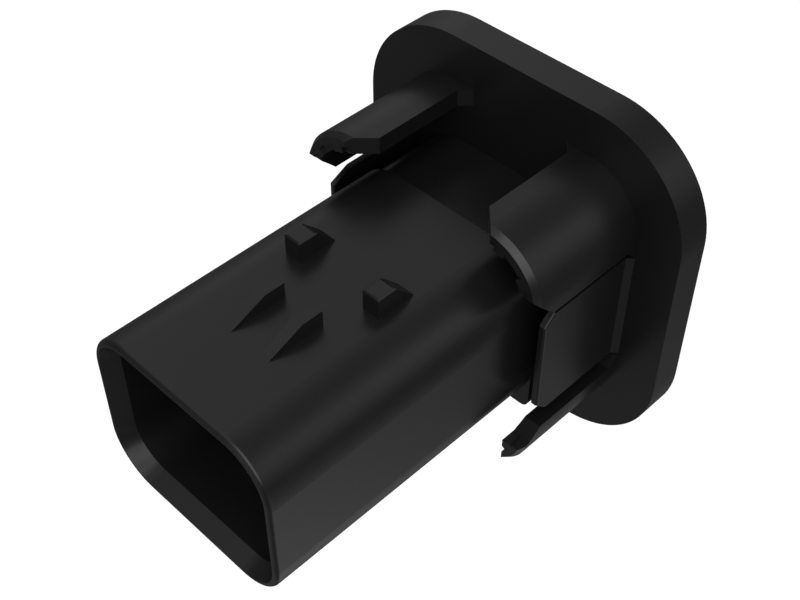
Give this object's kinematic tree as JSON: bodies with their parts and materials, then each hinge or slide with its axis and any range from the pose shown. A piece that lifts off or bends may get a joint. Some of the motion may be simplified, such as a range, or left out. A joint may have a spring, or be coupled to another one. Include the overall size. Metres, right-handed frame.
{
  "type": "connector receptacle",
  "caption": "Square-flanged panel receptacle with a rectangular hood round its pins, a collar of corner walls that snaps into a panel, a wedge lock and a rear wire seal.",
  "frame": {"origin": "centre of the flange's rear face, which is the part's lowest face", "axes": "+Z along the hood, out of its mouth; the latch side of the hood faces -Y; +X across the hood's width"},
  "size_m": [0.0318, 0.0318, 0.037],
  "materials": {
    "housing": "satin moulded",
    "seal": "matt",
    "lock": "satin moulded",
    "contact": "nickel plated"
  },
  "bodies": {
    "receptacle": {"receptacle_housing": "housing", "rear_wire_seal": "seal", "pin_contact_1": "contact", "pin_contact_2": "contact", "pin_contact_3": "contact", "pin_contact_4": "contact"},
    "lock": {"wedge_lock": "lock"}
  },
  "joints": [
    {"name": "lock_slide", "type": "slide", "parent": "receptacle", "child": "lock", "axis": [0, 0, 1], "range_m": [0, 0.028]}
  ]
}
